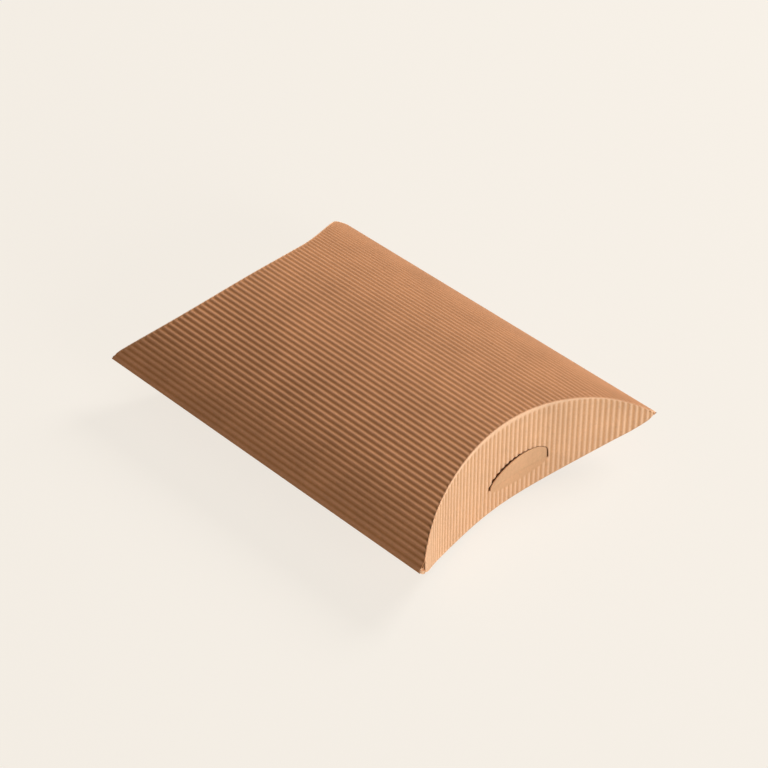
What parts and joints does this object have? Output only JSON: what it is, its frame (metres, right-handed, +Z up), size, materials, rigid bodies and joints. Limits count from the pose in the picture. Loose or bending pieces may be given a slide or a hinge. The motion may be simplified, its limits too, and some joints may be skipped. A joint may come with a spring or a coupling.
{
  "type": "favor box",
  "caption": "Pillow-shaped favor box of fluted kraft board, with bowed panels, curved end flaps on pressed creases and a half-moon thumb tab in each outer flap.",
  "frame": {"origin": "under the middle of the box, on the surface that the bottom crown rests on", "axes": "+X along the length and the flutes to the front end, +Y across to the seam side, +Z up out of the top panel"},
  "size_m": [0.178, 0.1336, 0.0426],
  "materials": {
    "kraft_flutes": "matte",
    "kraft_liner": "matte",
    "pressed_kraft": "matte",
    "starch_glue": "satin"
  },
  "bodies": {
    "sleeve": {"top_liner": "kraft_liner", "top_flutes": "kraft_flutes", "bottom_liner": "kraft_liner", "bottom_flutes": "kraft_flutes", "near_side_fold": "pressed_kraft", "seam_side_fold": "pressed_kraft", "glue_flap": "pressed_kraft", "seam_glue": "starch_glue", "front_top_crease": "pressed_kraft", "front_bottom_crease": "pressed_kraft", "rear_top_crease": "pressed_kraft", "rear_bottom_crease": "pressed_kraft"},
    "front_outer_flap": {"front_outer_flap_liner": "kraft_liner", "front_outer_flap_flutes": "kraft_flutes"},
    "front_inner_flap": {"front_inner_flap_liner": "kraft_liner", "front_inner_flap_flutes": "kraft_flutes"},
    "front_tab": {"front_thumb_tab": "pressed_kraft"},
    "rear_outer_flap": {"rear_outer_flap_liner": "kraft_liner", "rear_outer_flap_flutes": "kraft_flutes"},
    "rear_inner_flap": {"rear_inner_flap_liner": "kraft_liner", "rear_inner_flap_flutes": "kraft_flutes"},
    "rear_tab": {"rear_thumb_tab": "pressed_kraft"}
  },
  "joints": [
    {"name": "front_outer_flap_hinge", "type": "hinge", "parent": "sleeve", "child": "front_outer_flap", "pos_m": [0.0689, 0, 0.0426], "axis": [0, -1, 0], "range_deg": [0, 100]},
    {"name": "front_inner_flap_hinge", "type": "hinge", "parent": "sleeve", "child": "front_inner_flap", "pos_m": [0.0675, 0, 0], "axis": [0, 1, 0], "range_deg": [0, 40]},
    {"name": "front_tab_hinge", "type": "hinge", "parent": "front_outer_flap", "child": "front_tab", "pos_m": [0.06919, -0.00835, 0.0129], "axis": [0.0589, 0.9983, 0], "range_deg": [-5, 60]},
    {"name": "rear_outer_flap_hinge", "type": "hinge", "parent": "sleeve", "child": "rear_outer_flap", "pos_m": [-0.0689, 0, 0.0426], "axis": [0, 1, 0], "range_deg": [0, 100]},
    {"name": "rear_inner_flap_hinge", "type": "hinge", "parent": "sleeve", "child": "rear_inner_flap", "pos_m": [-0.0675, 0, 0], "axis": [0, -1, 0], "range_deg": [0, 40]},
    {"name": "rear_tab_hinge", "type": "hinge", "parent": "rear_outer_flap", "child": "rear_tab", "pos_m": [-0.06919, -0.00835, 0.0129], "axis": [0.0589, -0.9983, 0], "range_deg": [-5, 60]}
  ],
  "couplings": [
    {"joint": "front_inner_flap_hinge", "follows": "front_outer_flap_hinge", "ratio": 0.4},
    {"joint": "rear_inner_flap_hinge", "follows": "rear_outer_flap_hinge", "ratio": 0.4}
  ]
}
